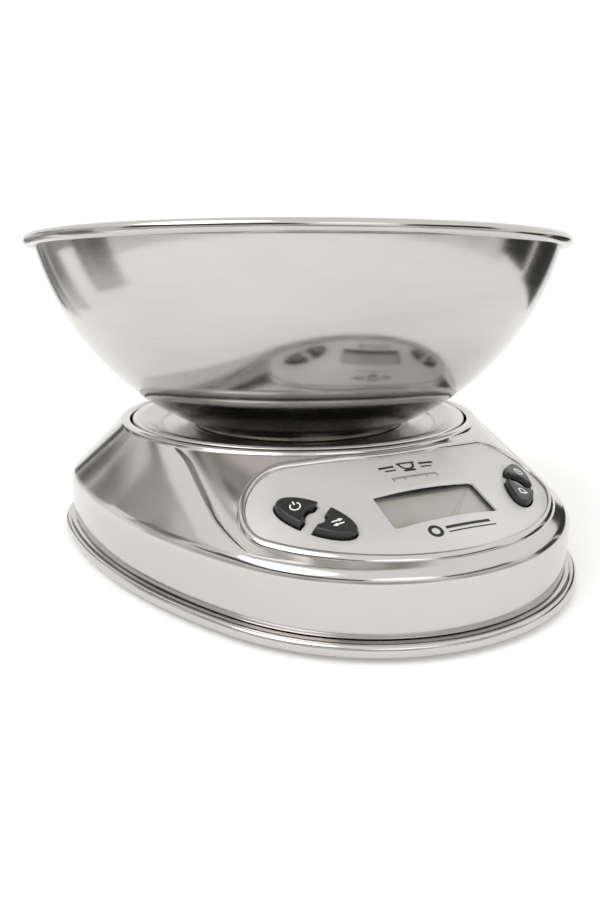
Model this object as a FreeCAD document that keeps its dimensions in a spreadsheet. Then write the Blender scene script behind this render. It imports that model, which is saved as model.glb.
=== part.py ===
import FreeCAD, Part
import math
import os
import Sketcher
from FreeCAD import Placement, Rotation, Vector

# Kitchen scale with a lift-off steel bowl, in millimetres. +Z is up and -Y is the display side.
# The origin is under the middle of the whole object, on the table.
SIZES = {
    "axisY": 13.2,            # bowl and platform axis
    "steel": 1.2,             # housing sheet
    "halfWidth": 101.3,       # base outline, made of six tangent arcs
    "wideY": 28.2,
    "noseY": -121.2,
    "noseRadius": 81.4,
    "backY": 111.2,
    "backRadius": 130.0,
    "skirtInset": 5.1,
    "rimTop": 5.8,
    "rimBottom": 1.7,
    "rimInset": 7.5,
    "shoulderZ": 25.2,
    "lipZ": 48.3,
    "lipRadius": 77.5,
    "wellRadius": 73.3,
    "collarZ": 40.0,
    "panelY": -85.15,         # where the panel's flat inner parts are squared to the nose
    "plateTopRadius": 80.8,   # control plate seen from above: top edge about the bowl axis
    "plateTopAngle": 14.0,
    "plateFrontRadius": 69.3,  # front edge about the middle of the nose
    "plateCorner": 14.0,
    "plateHigh": 0.1,         # insets of the plate's two faces and of its seat
    "plateLow": 0.9,
    "seatLow": 2.2,
    "beadWidth": 2.6,
    "beadHeight": 0.6,
    "windowWidth": 39.0,
    "windowDepth": 15.1,
    "windowV": -4.8,
    "windowSeat": 4.8,
    "pairX": 39.9,            # the two button pairs, each an oval split in two
    "pairV": 0.2,
    "pairTurn": 53.0,
    "buttonLong": 13.6,
    "buttonShort": 5.1,
    "buttonSplit": 2.2,
    "buttonBite": 3.6,
    "buttonProud": 1.7,
    "flangeHigh": 2.7,
    "flangeLow": 3.3,
    "stemRadius": 2.5,
    "coverBottom": 2.2,
    "coverThick": 2.5,
    "footRadius": 7.0,
    "footX": 59.0,
    "footFrontY": -62.0,
    "footBackY": 76.0,
    "trayRadius": 71.8,
    "trayFloorZ": 44.0,
    "trayFloorRadius": 60.0,
    "sheet": 0.8,             # tray and bowl sheet
    "carrierRadius": 60.0,
    "carrierThick": 2.5,
    "cellLength": 75.0,
    "cellSide": 12.7,
    "cellZ": 11.0,
    "cellSpacerZ": 3.3,
    "cellScrewRadius": 1.9,
    "cellScrewPitch": 8.0,
    "cellScrewEnd": 5.0,
    "bowlRadius": 108.0,
    "bowlCurl": 2.1,
    "bowlTopZ": 120.2,
    "bowlArc": 98.45,
    "bowlArcR": 7.7,
    "bowlArcZ": 136.1,
    "boardHalf": 47.0,
    "boardBack": 10.0,
    "boardFront": -14.0,
    "boardThick": 1.6,
    "boardDrop": 17.0,
    "stemOffset": 6.5,
    "cellPitchY": 15.5,       # the two batteries
    "batteryRadius": 7.15,
    "batteryLength": 50.5,
    "bayY": 65.7,
    "bayHalfX": 27.5,
    "bayHalfY": 15.6,
    "bayTop": 20.6,
    "bayWall": 1.6,
    "doorThick": 2.0,
    "doorGap": 0.4,
    "frameWidth": 7.0,
    "frameZ": 18.5,
    "frameThick": 2.0,
    "postRadius": 4.0,
    "screwRadius": 1.45,
    "headRadius": 2.9,
}

doc = FreeCAD.newDocument("kitchen_scale")
sheet = doc.addObject("Spreadsheet::Sheet", "Sizes")
for row, (alias, value) in enumerate(SIZES.items(), start=1):
    sheet.set(f"A{row}", alias)
    sheet.set(f"B{row}", str(value))
    sheet.setAlias(f"B{row}", alias)
doc.recompute()
nodes = []


def size(alias):
    return float(sheet.get(alias))


AXIS = Vector(0, size("axisY"), 0)
NOSE = Vector(0, size("noseY") + size("noseRadius"), 0)
nose_foot = size("noseY") + size("skirtInset") + 1.7
nose_rise = size("lipZ") - 1.2 - size("shoulderZ")
slope = nose_rise / (AXIS.y - size("lipRadius") - nose_foot)
# the panel's own frame touches the nose's middle line: u is +X, v runs up the slope, n stands off it
PANEL = Placement(Vector(0, size("panelY"), size("shoulderZ") + (size("panelY") - nose_foot) * slope),
                  Rotation(Vector(1, 0, 0), math.degrees(math.atan(slope))))


def node(label, item):
    """Keep a document object as a sub-part under its file name."""
    item.Label = label
    nodes.append(item)
    return item


def free_shape(label, shape, place=None):
    item = doc.addObject("Part::Feature", label)
    item.Shape = shape
    if place:
        item.Placement = place
    return node(label, item)


def bind(item, **expressions):
    for name, expression in expressions.items():
        item.setExpression(name.replace("__", "."), expression)


def cylinder(name, radius, height, x="0", y="0", z="0", axis=Vector(0, 0, 1)):
    item = doc.addObject("Part::Cylinder", name)
    item.Placement.Rotation = Rotation(Vector(0, 0, 1), axis)
    bind(item, Radius=radius, Height=height,
         Placement__Base__x=x, Placement__Base__y=y, Placement__Base__z=z)
    return item


def box(name, low, high):
    """A Part::Box between two corners, each given as three expressions."""
    item = doc.addObject("Part::Box", name)
    for side, corner, start, end in zip(("Length", "Width", "Height"), "xyz", low, high):
        item.setExpression(side, f"({end}) - ({start})")
        item.setExpression(f"Placement.Base.{corner}", start)
    return item


def fused(name, items):
    item = doc.addObject("Part::MultiFuse", name)
    item.Shapes = items
    return item


def cut(name, base, tool):
    item = doc.addObject("Part::Cut", name)
    item.Base = base
    item.Tool = tool
    return item


def plate_body(label, width, depth, thick, place, holes=()):
    """A PartDesign plate, centred on its own origin, with through holes given as (x, y, radius)."""
    body = doc.addObject("PartDesign::Body", label.title().replace("_", ""))
    plane = next(item for item in body.Origin.OriginFeatures if item.Role == "XY_Plane")
    outline = body.newObject("Sketcher::SketchObject", body.Name + "Outline")
    outline.AttachmentSupport = [(plane, "")]
    outline.MapMode = "FlatFace"
    corners = [Vector(-10, -10, 0), Vector(10, -10, 0), Vector(10, 10, 0), Vector(-10, 10, 0)]
    sides = [Part.LineSegment(a, b) for a, b in zip(corners, corners[1:] + corners[:1])]
    outline.addGeometry(sides, False)
    for index in range(4):
        outline.addConstraint(Sketcher.Constraint("Coincident", index, 2, (index + 1) % 4, 1))
    for index, kind in ((0, "Horizontal"), (1, "Vertical"), (2, "Horizontal"), (3, "Vertical")):
        outline.addConstraint(Sketcher.Constraint(kind, index))
    outline.addConstraint(Sketcher.Constraint("Symmetric", 0, 1, 1, 2, -1, 1))
    outline.addConstraint(Sketcher.Constraint("DistanceX", 0, 1, 0, 2, 20))
    outline.renameConstraint(outline.ConstraintCount - 1, "width")
    outline.addConstraint(Sketcher.Constraint("DistanceY", 1, 1, 1, 2, 20))
    outline.renameConstraint(outline.ConstraintCount - 1, "depth")
    bind(outline, Constraints__width=width, Constraints__depth=depth)
    pad = body.newObject("PartDesign::Pad", body.Name + "Pad")
    pad.Profile = outline
    bind(pad, Length=thick)
    doc.recompute()
    if holes:
        drilled = body.newObject("Sketcher::SketchObject", body.Name + "Holes")
        drilled.AttachmentSupport = [(plane, "")]
        drilled.MapMode = "FlatFace"
        for x, y, radius in holes:
            index = drilled.addGeometry(Part.Circle(Vector(x, y, 0), Vector(0, 0, 1), radius), False)
            drilled.addConstraint(Sketcher.Constraint("Radius", index, radius))
        pocket = body.newObject("PartDesign::Pocket", body.Name + "Pocket")
        pocket.Profile = drilled
        pocket.Type = "ThroughAll"
        pocket.Midplane = True
    body.Placement = place
    return node(label, body)


def prism(wire, vector):
    return Part.Face(wire).extrude(vector)


def arc(centre, radius, start, end):
    """An arc in the XY plane about centre, angles in radians."""
    middle = (start + end) / 2
    points = [centre + Vector(radius * math.cos(t), radius * math.sin(t), 0) for t in (start, middle, end)]
    return Part.Arc(*points).toShape()


def ring_polygon(points):
    """Turn a closed (r, z) outline about the Z axis."""
    wire = Part.makePolygon([Vector(r, 0, z) for r, z in points + points[:1]])
    return Part.Face(wire).revolve(Vector(0, 0, 0), Vector(0, 0, 1), 360)


# ---- Outlines ----

def corner_angles():
    """Where the nose arc meets a side arc and where that meets the back arc, and the side arcs."""
    half, wide = size("halfWidth"), size("wideY")
    nose_radius, back_radius = size("noseRadius"), size("backRadius")
    nose_drop = wide - (size("noseY") + nose_radius)
    back_drop = wide - (size("backY") - back_radius)
    side_front = (half ** 2 + nose_drop ** 2 - nose_radius ** 2) / (2 * (half - nose_radius))
    side_back = (half ** 2 + back_drop ** 2 - back_radius ** 2) / (2 * (half - back_radius))
    nose_angle = -math.atan2(nose_drop, side_front - half)
    back_angle = math.atan2(back_drop, half - side_back)
    return side_front, side_back, nose_angle, back_angle


def six_arcs(z, arcs):
    """Close the outline from (centre x, centre y, radius, start, end) arcs of its right side."""
    edges = [arc(Vector(x, y, z), r, a, b) for x, y, r, a, b in arcs]
    for x, y, r, a, b in reversed(arcs[1:-1]):
        edges.append(arc(Vector(-x, y, z), r, math.pi - b, math.pi - a))
    return Part.Wire(edges)


def base_wire(inset, z):
    """The base's plan outline, moved in by inset."""
    side_front, side_back, nose, back = corner_angles()
    half, wide = size("halfWidth"), size("wideY")
    nose_y = size("noseY") + size("noseRadius")
    back_y = size("backY") - size("backRadius")
    return six_arcs(z, [
        (0, nose_y, size("noseRadius") - inset, -math.pi - nose, nose),
        (half - side_front, wide, side_front - inset, nose, 0),
        (half - side_back, wide, side_back - inset, 0, back),
        (0, back_y, size("backRadius") - inset, back, math.pi - back),
    ])


def lip_wire(radius, z):
    """A circle split at the same angles as the base outline, so the two make a smooth loft."""
    _, _, nose, back = corner_angles()
    splits = [(-math.pi - nose, nose), (nose, 0), (0, back), (back, math.pi - back)]
    return six_arcs(z, [(0, AXIS.y, radius, a, b) for a, b in splits])


def plate_wire(grow, z):
    """The control plate's outline seen from above, grown outwards: tangent arcs and two short lines."""
    corner, top, front = size("plateCorner"), size("plateTopRadius"), size("plateFrontRadius")
    phi = math.radians(size("plateTopAngle"))
    along = (top + corner) * math.sin(phi)
    across = AXIS.y - (top + corner) * math.cos(phi) - NOSE.y
    shift = along * math.cos(phi) + across * math.sin(phi)
    line = math.sqrt(shift ** 2 - along ** 2 - across ** 2 + (front - corner) ** 2) - shift
    x, y = along + line * math.cos(phi), across + line * math.sin(phi)
    turn = math.atan2(y, x)
    middle = Vector(0, AXIS.y, z)
    right, left = Vector(x, NOSE.y + y, z), Vector(-x, NOSE.y + y, z)
    edges = [
        arc(middle, top - grow, -math.pi / 2 - phi, -math.pi / 2 + phi),
        arc(right, corner + grow, math.pi / 2 + phi, turn),
        arc(NOSE + Vector(0, 0, z), front + grow, turn, -math.pi - turn),
        arc(left, corner + grow, math.pi - turn, math.pi / 2 - phi),
    ]
    ends = [(edge.valueAt(edge.FirstParameter), edge.valueAt(edge.LastParameter)) for edge in edges]
    right_side = Part.LineSegment(ends[0][1], ends[1][0]).toShape()
    left_side = Part.LineSegment(ends[3][1], ends[0][0]).toShape()
    return Part.Wire([edges[0], right_side, *edges[1:], left_side])


def plate_prism(grow):
    return prism(plate_wire(grow, 12), Vector(0, 0, 60))


def window_prism(grow, low, high):
    """The display window's opening, with rounded corners."""
    half_u = size("windowWidth") / 2 + grow
    half_v = size("windowDepth") / 2 + grow
    block = Part.makeBox(2 * half_u, 2 * half_v, high - low,
                         Vector(-half_u, size("windowV") - half_v, low))
    upright = [e for e in block.Edges if abs(e.Vertexes[0].Z - e.Vertexes[1].Z) > (high - low) / 2]
    return block.makeFillet(1.2, upright)


BUTTONS = {
    "tare_button": (-1, 1),
    "unit_button": (-1, -1),
    "timer_button": (1, 1),
    "alarm_button": (1, -1),
}


def button_prism(side, level, grow, low, high):
    """Half of a split oval: side -1 is the left pair, level 1 is its outer, upper button."""
    long_axis, short_axis = size("buttonLong") + grow, size("buttonShort") + grow
    oval = Part.Ellipse(Vector(0, 0, low), long_axis, short_axis).toShape()
    body = prism(Part.Wire([oval]), Vector(0, 0, high - low))
    split = size("buttonSplit") - grow
    body = body.cut(Part.makeBox(40, 40, 40, Vector(split - 40, -20, low - 5)))
    body = body.cut(Part.makeCylinder(size("buttonBite") - grow, 40, Vector(0, 0, low - 5)))
    turn = 90 - side * (90 - size("pairTurn")) + (0 if level > 0 else 180)
    body.rotate(Vector(0, 0, 0), Vector(0, 0, 1), turn)
    body.translate(Vector(side * size("pairX"), size("pairV"), 0))
    return body


# ---- Housing ----

def housing_solid(inset):
    """The base's outer form moved in by inset, from the bottom ledge up to the platform's lip."""
    skirt = size("skirtInset") + inset
    shoulder, lip = size("shoulderZ") - inset, size("lipZ") - inset
    radius = size("lipRadius") - inset
    low = size("rimTop") - (3 if inset else 0)
    return Part.makeLoft([
        base_wire(skirt, low), base_wire(skirt, shoulder - 3.2), base_wire(skirt + 0.5, shoulder - 1.4),
        base_wire(skirt + 1.7, shoulder), lip_wire(radius, lip - 1.2), lip_wire(radius - 1.0, lip),
    ], True, True)


def layer(outer, inner):
    """What lies between two insets of the housing's form."""
    return housing_solid(outer).cut(housing_solid(inner))


def on_panel(shape):
    shape.Placement = PANEL.multiply(shape.Placement)
    return shape


def button_block(side, level, grow):
    """A button's outline carried right through the housing, square to the panel."""
    return on_panel(button_prism(side, level, grow, -16, 8))


housing = layer(0, size("steel"))
wall = Part.makeCylinder(size("lipRadius") - 1.0, size("lipZ") - size("collarZ"),
                         Vector(0, AXIS.y, size("collarZ")))
bead = plate_prism(size("beadWidth")).common(layer(-size("beadHeight"), 0.3))
seat = plate_prism(size("beadWidth") - 0.4).common(layer(size("plateLow") + 0.05, size("seatLow")))
housing = housing.fuse([wall, bead, seat])
housing = housing.cut(Part.makeCylinder(size("wellRadius"), 80, Vector(0, AXIS.y, 10)))
housing = housing.cut(plate_prism(0.15).cut(housing_solid(size("plateLow") + 0.05)))
housing = housing.cut(on_panel(window_prism(size("windowSeat"), -12, 8)))
for side, level in BUTTONS.values():
    housing = housing.cut(button_block(side, level, 0.7))
free_shape("upper_housing", housing.removeSplitter())

rim = Part.makeLoft([base_wire(1.1, size("rimBottom")), base_wire(0, size("rimBottom") + 1.2),
                     base_wire(0, size("rimTop") - 1.4), base_wire(1.1, size("rimTop"))], True, True)
free_shape("base_rim", rim.cut(prism(base_wire(size("rimInset"), -1), Vector(0, 0, 20))))

# The inner frame stiffens the sheet and takes the six housing screws.
POSTS = [(-81, 58), (81, 58), (-83, -20), (83, -20), (-44, -93.5), (44, -93.5)]
cover_top = size("coverBottom") + size("coverThick")
frame_top = size("frameZ") + size("frameThick")
frame_inset = size("skirtInset") + size("steel") + 0.4
frame = prism(base_wire(frame_inset, size("frameZ")), Vector(0, 0, size("frameThick")))
frame = frame.cut(prism(base_wire(frame_inset + size("frameWidth"), 0), Vector(0, 0, 60)))
for x, y in POSTS:
    frame = frame.fuse(Part.makeCylinder(size("postRadius"), frame_top - cover_top, Vector(x, y, cover_top)))
for x, y in POSTS:
    frame = frame.cut(Part.makeCylinder(size("screwRadius") + 0.05, 9, Vector(x, y, cover_top - 1)))
free_shape("inner_frame", frame.removeSplitter())

# ---- Control panel ----
plate = plate_prism(0).common(layer(size("plateHigh"), size("plateLow")))
plate = plate.cut(on_panel(window_prism(0, -12, 8)))
for side, level in BUTTONS.values():
    plate = plate.cut(button_block(side, level, 0.4))
free_shape("control_plate", plate)


def stem_place(side, level, n):
    """The middle of a button's stem and of the switch under it, in the panel's plane."""
    turn = math.radians(90 - side * (90 - size("pairTurn")) + (0 if level > 0 else 180))
    reach = size("stemOffset")
    return Vector(side * size("pairX") + reach * math.cos(turn), size("pairV") + reach * math.sin(turn), n)


board_low = -size("boardDrop")
board_top = board_low + size("boardThick")
cap_layer = layer(-size("buttonProud"), size("flangeHigh") + 0.1)
flange_layer = layer(size("flangeHigh"), size("flangeLow"))
stem_space = housing_solid(size("flangeHigh") + 0.2)
for label, (side, level) in BUTTONS.items():
    cap = button_block(side, level, 0).common(cap_layer)
    flange = button_block(side, level, 1.1).common(flange_layer)
    stem = Part.makeCylinder(size("stemRadius"), 12, stem_place(side, level, board_top + 4))
    free_shape(label, cap.fuse([flange, on_panel(stem).common(stem_space)]).removeSplitter())

window_v = size("windowV")
plate_body("display_window", "Sizes.windowWidth + 5.1", "Sizes.windowDepth + 5.3", "1",
           PANEL.multiply(Placement(Vector(0, window_v, -3.6), Rotation())))
plate_body("lcd_panel", "Sizes.windowWidth + 3.1", "Sizes.windowDepth + 3.3", "2.2",
           PANEL.multiply(Placement(Vector(0, window_v, -6.0), Rotation())))
holder = Part.makeBox(47, 24, -3.7 - board_top, Vector(-23.5, window_v - 12, board_top))
holder = holder.cut(Part.makeBox(42.4, 19.4, 4, Vector(-21.2, window_v - 9.7, -6.0)))
holder = holder.cut(Part.makeBox(38, 12, 14, Vector(-19, window_v - 6, board_top - 1)))
strips = []
for v in (-8.2, 8.2):
    holder = holder.cut(Part.makeBox(40.4, 2.0, 14, Vector(-20.2, window_v + v - 1.0, board_top - 1)))
    strips.append(Part.makeBox(40, 1.6, -6.0 - board_top, Vector(-20, window_v + v - 0.8, board_top)))
free_shape("lcd_holder", holder, PANEL)
free_shape("zebra_strips", Part.makeCompound(strips), PANEL)

board_half, board_back, board_front = size("boardHalf"), size("boardBack"), size("boardFront")
corners = [(-board_half, board_back), (-board_half, -4), (-36, board_front),
           (36, board_front), (board_half, -4), (board_half, board_back)]
outline = Part.makePolygon([Vector(u, v, board_low) for u, v in corners + corners[:1]])
board = prism(outline, Vector(0, 0, size("boardThick")))
screws = []
for u, v in ((-28, 6.5), (28, 6.5), (-28, -11), (28, -11)):
    board = board.cut(Part.makeCylinder(1.1, 4, Vector(u, v, board_low - 1)))
    head = Part.makeCylinder(1.9, 1.2, Vector(u, v, board_low - 1.2))
    screws.append(head.fuse(Part.makeCylinder(1.0, 2.9, Vector(u, v, board_low - 0.1))))
free_shape("main_board", board, PANEL)
free_shape("board_screws", Part.makeCompound(screws), PANEL)
free_shape("controller_chip", Part.makeCone(6.0, 4.0, 1.4, Vector(0, -2, board_low), Vector(0, 0, -1)), PANEL)
switches = []
for side, level in BUTTONS.values():
    middle = stem_place(side, level, board_top)
    body = Part.makeBox(6, 6, 2.0, middle - Vector(3, 3, 0))
    switches.append(body.fuse(Part.makeCylinder(1.6, 1.0, middle + Vector(0, 0, 1.9))))
free_shape("tact_switches", Part.makeCompound(switches), PANEL)
node("buzzer", cylinder("Buzzer", "5.5", "4.5", x="-34", y="-55", z="Sizes.coverBottom + Sizes.coverThick"))

# ---- Weighing platform and load cell ----
tray_z, tray_r, tray_t = size("trayFloorZ"), size("trayRadius"), size("sheet")
floor_r = size("trayFloorRadius")
tray = ring_polygon([
    (0, tray_z), (floor_r, tray_z), (floor_r + 1.2, tray_z + 1.2), (floor_r + 3.0, tray_z + 1.6),
    (tray_r - 4.6, tray_z + 4.2), (tray_r - 3.8, tray_z + 4.5), (tray_r - 1.0, tray_z + 4.5),
    (tray_r, tray_z + 3.6), (tray_r, tray_z - 3.5), (tray_r - tray_t, tray_z - 3.5),
    (tray_r - tray_t, tray_z + 3.2), (tray_r - 1.4, tray_z + 3.7), (tray_r - 3.8, tray_z + 3.7),
    (tray_r - 4.3, tray_z + 3.4), (floor_r + 3.4, tray_z + 0.8), (floor_r + 1.6, tray_z + 0.4),
    (floor_r + 0.4, tray_z - tray_t), (0, tray_z - tray_t),
])
tray.translate(AXIS)
free_shape("platform_tray", tray)

COVER_TOP = "Sizes.coverBottom + Sizes.coverThick"
CELL_TOP = "Sizes.cellZ + Sizes.cellSide"
CARRIER_TOP = "Sizes.trayFloorZ - Sizes.sheet"
cell_end = size("cellLength") / 2
pitch, end = size("cellScrewPitch"), size("cellScrewEnd")
foot_screws = [-cell_end + end, -cell_end + end + pitch]
head_screws = [cell_end - end - pitch, cell_end - end]


def cell_holes(name, low, high, positions, radius="Sizes.cellScrewRadius + 0.1"):
    return [cylinder(f"{name}{index}", radius, f"({high}) - ({low})", x=str(x), y="Sizes.axisY", z=low)
            for index, x in enumerate(positions)]


parts = [cylinder("CarrierDisc", "Sizes.carrierRadius", "Sizes.carrierThick", y="Sizes.axisY",
                  z=f"{CARRIER_TOP} - Sizes.carrierThick")]
parts.append(box("CarrierHub",
                 ("Sizes.cellLength / 2 - 19", "Sizes.axisY - 9", f"{CELL_TOP} + Sizes.cellSpacerZ"),
                 ("Sizes.cellLength / 2 + 1", "Sizes.axisY + 9", f"{CARRIER_TOP} - 1")))
for index in range(6):
    rib = doc.addObject("Part::Box", f"CarrierRib{index}")
    bind(rib, Length="Sizes.carrierRadius - 8", Width="2.4", Height="6",
         Placement__Base__y="Sizes.axisY", Placement__Base__z=f"{CARRIER_TOP} - 8")
    rib.Placement.Rotation = Rotation(Vector(0, 0, 1), 60 * index + 30)
    parts.append(rib)
bores = cell_holes("CarrierBore", "Sizes.cellZ", "Sizes.trayFloorZ", head_screws)
bores += cell_holes("CarrierSink", f"{CARRIER_TOP} - 2.2", "Sizes.trayFloorZ", head_screws, "3.7")
node("platform_carrier", cut("Carrier", fused("CarrierBody", parts), fused("CarrierBores", bores)))

beam = box("CellBeam", ("-Sizes.cellLength / 2", "Sizes.axisY - Sizes.cellSide / 2", "Sizes.cellZ"),
           ("Sizes.cellLength / 2", "Sizes.axisY + Sizes.cellSide / 2", CELL_TOP))
flexures = cell_holes("CellBore", "Sizes.cellZ - 1", f"{CELL_TOP} + 1", foot_screws + head_screws)
for index, x in enumerate((-7, 7)):
    flexures.append(cylinder(f"Flexure{index}", "4.6", "Sizes.cellSide + 2", x=str(x),
                             y="Sizes.axisY + Sizes.cellSide / 2 + 1",
                             z="Sizes.cellZ + Sizes.cellSide / 2", axis=Vector(0, -1, 0)))
flexures.append(box("FlexureSlot",
                    ("-7", "Sizes.axisY - Sizes.cellSide", "Sizes.cellZ + Sizes.cellSide / 2 - 1.5"),
                    ("7", "Sizes.axisY + Sizes.cellSide", "Sizes.cellZ + Sizes.cellSide / 2 + 1.5")))
node("load_cell", cut("LoadCell", beam, fused("Flexures", flexures)))

bore = size("cellScrewRadius") + 0.1
bores = [(-pitch / 2, 0, bore), (pitch / 2, 0, bore)]
plate_body("load_cell_foot", "18", "14", f"Sizes.cellZ - ({COVER_TOP})",
           Placement(Vector(sum(foot_screws) / 2, AXIS.y, cover_top), Rotation()), bores)
plate_body("load_cell_spacer", "18", "14", "Sizes.cellSpacerZ",
           Placement(Vector(sum(head_screws) / 2, AXIS.y, size("cellZ") + size("cellSide")), Rotation()),
           bores)


def screw(x, y, seat, length, radius, head_radius, head_height, way):
    """A pan-head screw: its head sits on z = seat and its shank runs along way, 1 up or -1 down."""
    up = Vector(0, 0, way)
    head = Part.makeCylinder(head_radius, head_height, Vector(x, y, seat), up * -1)
    return head.fuse(Part.makeCylinder(radius, length, Vector(x, y, seat - way * 0.1), up))


shank = size("cellScrewRadius")
low_seat = size("coverBottom") + 1.7
free_shape("load_cell_foot_screws", Part.makeCompound(
    [screw(x, AXIS.y, low_seat, 14, shank, 3.4, 1.6, 1) for x in foot_screws]))
high_seat = tray_z - tray_t - 2.2
free_shape("load_cell_head_screws", Part.makeCompound(
    [screw(x, AXIS.y, high_seat, 26, shank, 3.4, 1.8, -1) for x in head_screws]))

# ---- Bottom cover, feet, battery bay and door ----
bay_x, bay_y, bay_half_y = size("bayHalfX"), size("bayY"), size("bayHalfY")
bay_wall, cover_low = size("bayWall"), size("coverBottom")
cover = prism(base_wire(size("rimInset") + 0.2, cover_low), Vector(0, 0, size("coverThick")))
cover = cover.fuse(Part.makeBox(2 * (bay_x + bay_wall), 2 * (bay_half_y + bay_wall),
                                size("bayTop") + bay_wall - cover_low,
                                Vector(-bay_x - bay_wall, bay_y - bay_half_y - bay_wall, cover_low)))
cover = cover.cut(Part.makeBox(2 * bay_x, 2 * bay_half_y, size("bayTop"),
                               Vector(-bay_x, bay_y - bay_half_y, 0)))
for x, y in POSTS:
    cover = cover.cut(Part.makeCylinder(size("screwRadius") + 0.2, 9, Vector(x, y, 0)))
    cover = cover.cut(Part.makeCylinder(size("headRadius") + 0.3, low_seat, Vector(x, y, 0)))
for x in foot_screws:
    cover = cover.cut(Part.makeCylinder(bore, 9, Vector(x, AXIS.y, 0)))
    cover = cover.cut(Part.makeCylinder(3.7, low_seat, Vector(x, AXIS.y, 0)))
free_shape("bottom_cover", cover.removeSplitter())
free_shape("housing_screws", Part.makeCompound(
    [screw(x, y, low_seat, 7.5, size("screwRadius"), size("headRadius"), 1.5, 1) for x, y in POSTS]))

feet = []
for x in (-size("footX"), size("footX")):
    for y in (size("footFrontY"), size("footBackY")):
        feet.append(Part.makeCone(size("footRadius") - 0.8, size("footRadius"), cover_low, Vector(x, y, 0)))
free_shape("rubber_feet", Part.makeCompound(feet))

plate_body("battery_door", "2 * (Sizes.bayHalfX - Sizes.doorGap)", "2 * (Sizes.bayHalfY - Sizes.doorGap)",
           "Sizes.doorThick", Placement(Vector(0, bay_y, cover_low), Rotation()))

battery_r = size("batteryRadius")
battery_z = size("bayTop") - battery_r - 0.4
nub = 1.2
springs = []
contacts = []
for number, way in ((1, 1), (2, -1)):
    y = bay_y - way * size("cellPitchY") / 2
    along = Vector(way, 0, 0)
    start = -way * (bay_x - 4.0)
    can_length = size("batteryLength") - nub
    can = Part.makeCylinder(battery_r, can_length, Vector(start, y, battery_z), along)
    tip = Part.makeCylinder(2.7, nub, Vector(start + way * can_length, y, battery_z), along)
    free_shape(f"battery_{number}", can.fuse(tip).removeSplitter())
    cone = Part.makeCone(4.5, 2.6, 3.5, Vector(-way * (bay_x - 0.5), y, battery_z), along)
    springs.append(cone.cut(Part.makeCone(3.7, 1.8, 3.5, Vector(-way * (bay_x - 0.5), y, battery_z), along)))
    for end_x in (-bay_x, bay_x - 0.5):
        contacts.append(Part.makeBox(0.5, 11, 11, Vector(end_x, y - 5.5, battery_z - 5.5)))
free_shape("battery_springs", Part.makeCompound(springs))
free_shape("battery_contacts", Part.makeCompound(contacts))


def lead(points, radius, bend):
    """A clipped wire: straight runs joined by tangent arcs."""
    edges = []
    start = points[0]
    for before, corner, after in zip(points, points[1:], points[2:]):
        incoming, outgoing = (corner - before).normalize(), (after - corner).normalize()
        turn = incoming.getAngle(outgoing)
        back = bend * math.tan(turn / 2)
        bisector = (outgoing - incoming).normalize()
        middle = corner + bisector * (bend / math.cos(turn / 2) - bend)
        first, last = corner - incoming * back, corner + outgoing * back
        edges.append(Part.LineSegment(start, first).toShape())
        edges.append(Part.Arc(first, middle, last).toShape())
        start = last
    edges.append(Part.LineSegment(start, points[-1]).toShape())
    circle = Part.Wire([Part.Circle(points[0], points[1] - points[0], radius).toShape()])
    return Part.Wire(edges).makePipeShell([circle], True, False)


def board_pad(u, v, depth):
    return PANEL.multVec(Vector(u, v, board_low - depth))


bay_front = bay_y - bay_half_y - bay_wall
floor_z = cover_top + 4.3
free_shape("battery_leads", lead([Vector(24, bay_front, floor_z), Vector(24, -57, floor_z),
                                  board_pad(24, 8, 12), board_pad(24, 8, 0)], 0.9, 6.0))
cell_side_y = AXIS.y - size("cellSide") / 2
free_shape("load_cell_leads", lead([Vector(-16, cell_side_y, 17), Vector(-16, -14, 17), Vector(-16, -40, 10),
                                    Vector(-16, -60, 11), board_pad(-16, 8, 11),
                                    board_pad(-16, 8, 0)], 0.9, 5.0))

# ---- Bowl: a wall of one arc, a flat floor on a foot ring, and a curled rim, turned in one piece ----
arc_r, arc_z, arc_radius = size("bowlArcR"), size("bowlArcZ"), size("bowlArc")
curl = size("bowlCurl")
curl_middle = Vector(size("bowlRadius") - curl, 0, size("bowlTopZ") - curl)


def curl_point(degrees):
    turn = math.radians(degrees)
    return curl_middle + Vector(curl * math.cos(turn), 0, curl * math.sin(turn))


def wall_arc(radius, low, top):
    """The wall's section from height low up to the point top on the curl."""
    first, second = [Vector(arc_r + math.sqrt(radius ** 2 - (arc_z - z) ** 2), 0, z)
                     for z in (low, (low + top.z) / 2)]
    return Part.Arc(first, second, top)


outer = wall_arc(arc_radius, tray_z + 2.0, curl_point(-142))
inner = wall_arc(arc_radius - tray_t, tray_z + 2.6, curl_point(170))
floor = [(44.4, 2.0), (0, 2.0), (0, 1.2), (42.5, 1.2), (43.2, 0), (46.0, 0)]
lower = [inner.StartPoint] + [Vector(r, 0, tray_z + z) for r, z in floor] + [outer.StartPoint]
rim_curl = Part.Arc(curl_point(-142), curl_point(14), curl_point(170))
section = [outer.toShape(), rim_curl.toShape(), inner.toShape()]
section += [Part.LineSegment(a, b).toShape() for a, b in zip(lower, lower[1:])]
bowl = Part.Face(Part.Wire(Part.__sortEdges__(section))).revolve(Vector(0, 0, 0), Vector(0, 0, 1), 360)
bowl.translate(AXIS)
free_shape("bowl", bowl)

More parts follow.
